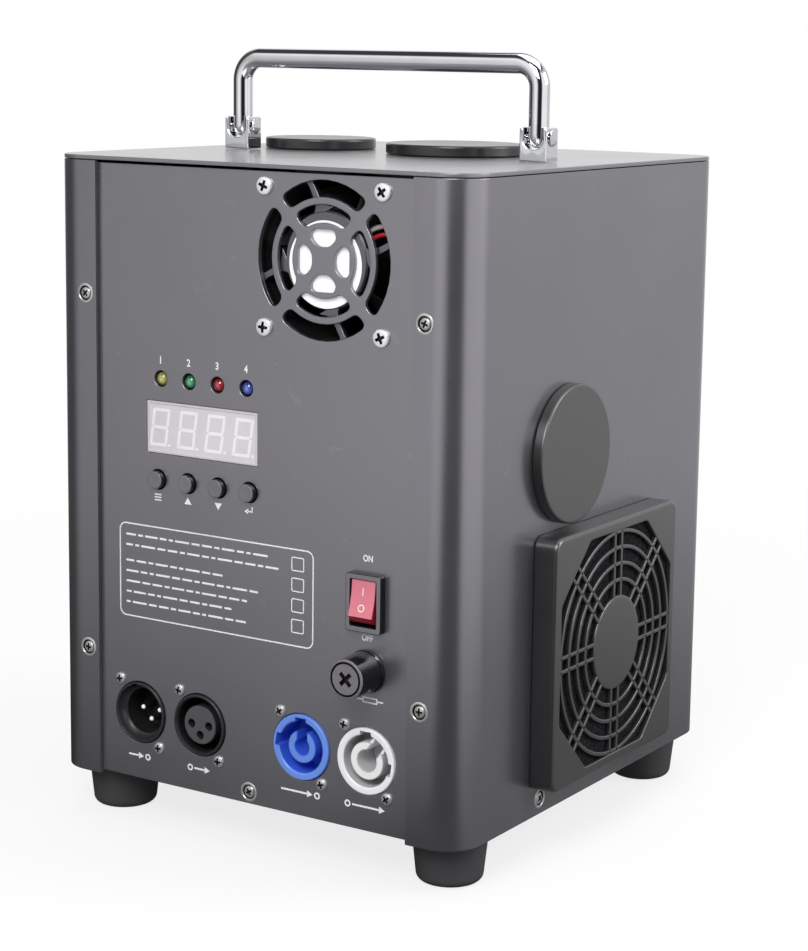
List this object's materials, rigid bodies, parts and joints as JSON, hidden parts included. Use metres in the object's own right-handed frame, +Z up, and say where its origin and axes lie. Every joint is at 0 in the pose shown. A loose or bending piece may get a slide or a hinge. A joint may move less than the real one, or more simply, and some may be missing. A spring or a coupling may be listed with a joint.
{
  "type": "cold spark machine",
  "caption": "Table-top cold spark machine: wrapped steel case on feet, folding handle, capped hopper and spark outlet, filtered side fan, control panel with display, switch, fuse and sockets.",
  "frame": {"origin": "on the ground, under the middle of the overall box", "axes": "+Z up, control panel towards -Y, filter guard towards +X"},
  "size_m": [0.195, 0.2034, 0.2937],
  "materials": {
    "powder_steel": "fine textured grey powder coat",
    "plate_steel": "zinc-plated sheet",
    "black_rubber": "matte moulded rubber",
    "chrome": "polished chrome plate",
    "black_plastic": "satin moulded plastic",
    "guard_plastic": "satin moulded plastic",
    "foam": "open-cell filter foam",
    "fan_metal": "die-cast, satin",
    "display_grey": "smooth light grey face",
    "board_green": "solder mask",
    "lamp_yellow": "tinted clear dome",
    "lamp_green": "tinted clear dome",
    "lamp_red": "tinted clear dome",
    "lamp_blue": "tinted clear dome",
    "rocker_red": "translucent red",
    "socket_blue": "satin moulded plastic",
    "socket_grey": "satin moulded plastic",
    "fuse_glass": "clear tube with metal ends"
  },
  "bodies": {
    "housing": {"wrap_shell": "powder_steel", "control_panel": "powder_steel", "top_plate": "powder_steel", "base_plate": "powder_steel", "foot_front_left": "black_rubber", "foot_front_right": "black_rubber", "foot_back_left": "black_rubber", "foot_back_right": "black_rubber", "handle_bracket_left": "chrome", "handle_bracket_right": "chrome", "handle_pin_left": "chrome", "handle_pin_right": "chrome", "front_fan_frame": "fan_metal", "side_fan_frame": "black_plastic", "filter_base": "guard_plastic", "display_module": "display_grey", "display_board": "board_green", "lamp_1": "lamp_yellow", "lamp_2": "lamp_green", "lamp_3": "lamp_red", "lamp_4": "lamp_blue", "switch_body": "black_plastic", "fuse_holder": "black_plastic", "signal_inlet": "black_plastic", "signal_outlet": "black_plastic", "power_inlet": "socket_blue", "power_outlet": "socket_grey", "hopper": "plate_steel", "feed_barrel": "plate_steel", "feed_motor": "plate_steel", "heating_chamber": "plate_steel", "heater_band": "plate_steel", "spark_nozzle": "plate_steel", "chamber_bracket": "plate_steel", "blower_housing": "black_plastic", "power_supply": "plate_steel", "main_board": "board_green"},
    "handle": {"handle_bail": "chrome"},
    "outlet_lid": {"outlet_cap": "black_plastic"},
    "hopper_lid": {"hopper_cap": "black_plastic"},
    "port_lid": {"side_port_cap": "black_plastic"},
    "front_rotor": {"front_fan_rotor": "black_plastic"},
    "side_rotor": {"side_fan_rotor": "black_plastic"},
    "filter": {"filter_cover": "guard_plastic", "filter_foam": "foam"},
    "key_1": {"button_1": "black_plastic"},
    "key_2": {"button_2": "black_plastic"},
    "key_3": {"button_3": "black_plastic"},
    "key_4": {"button_4": "black_plastic"},
    "rocker": {"switch_rocker": "rocker_red"},
    "fuse": {"fuse_link": "fuse_glass"},
    "fuse_knob": {"fuse_cap": "black_plastic"},
    "screw": {"feed_screw": "plate_steel"},
    "impeller": {"blower_impeller": "black_plastic"}
  },
  "joints": [
    {"name": "handle_fold", "type": "hinge", "parent": "housing", "child": "handle", "pos_m": [-0.00495, -0.0022, 0.2627], "axis": [1, 0, 0], "range_deg": [-90, 90]},
    {"name": "outlet_lid_lift", "type": "slide", "parent": "housing", "child": "outlet_lid", "axis": [0, 0, 1], "range_m": [0, 0.025]},
    {"name": "hopper_lid_lift", "type": "slide", "parent": "housing", "child": "hopper_lid", "axis": [0, 0, 1], "range_m": [0, 0.03]},
    {"name": "port_lid_pull", "type": "slide", "parent": "housing", "child": "port_lid", "axis": [1, 0, 0], "range_m": [0, 0.02]},
    {"name": "filter_pull", "type": "slide", "parent": "housing", "child": "filter", "axis": [1, 0, 0], "range_m": [0, 0.02]},
    {"name": "front_fan_spin", "type": "hinge", "parent": "housing", "child": "front_rotor", "pos_m": [0.02675, -0.0727, 0.2211], "axis": [0, 1, 0], "continuous": true},
    {"name": "side_fan_spin", "type": "hinge", "parent": "housing", "child": "side_rotor", "pos_m": [0.0727, 0.0053, 0.0757], "axis": [1, 0, 0], "continuous": true},
    {"name": "blower_spin", "type": "hinge", "parent": "housing", "child": "impeller", "pos_m": [-0.01255, 0.0232, 0.0568], "axis": [0, 1, 0], "continuous": true},
    {"name": "feed_spin", "type": "hinge", "parent": "housing", "child": "screw", "pos_m": [-0.0377, 0.0264, 0.1575], "axis": [1, 0, 0], "continuous": true},
    {"name": "key_1_press", "type": "slide", "parent": "housing", "child": "key_1", "axis": [0, 1, 0], "range_m": [0, 0.0008], "stiffness_N_per_m": 1500},
    {"name": "key_2_press", "type": "slide", "parent": "housing", "child": "key_2", "axis": [0, 1, 0], "range_m": [0, 0.0008], "stiffness_N_per_m": 1500},
    {"name": "key_3_press", "type": "slide", "parent": "housing", "child": "key_3", "axis": [0, 1, 0], "range_m": [0, 0.0008], "stiffness_N_per_m": 1500},
    {"name": "key_4_press", "type": "slide", "parent": "housing", "child": "key_4", "axis": [0, 1, 0], "range_m": [0, 0.0008], "stiffness_N_per_m": 1500},
    {"name": "rocker_tip", "type": "hinge", "parent": "housing", "child": "rocker", "pos_m": [0.04705, -0.0865, 0.1024], "axis": [1, 0, 0], "range_deg": [0, 24]},
    {"name": "fuse_pull", "type": "slide", "parent": "housing", "child": "fuse", "axis": [0, -1, 0], "range_m": [0, 0.035]},
    {"name": "fuse_knob_turn", "type": "hinge", "parent": "fuse", "child": "fuse_knob", "pos_m": [0.04705, -0.1, 0.0774], "axis": [0, 1, 0], "range_deg": [0, 90]}
  ]
}
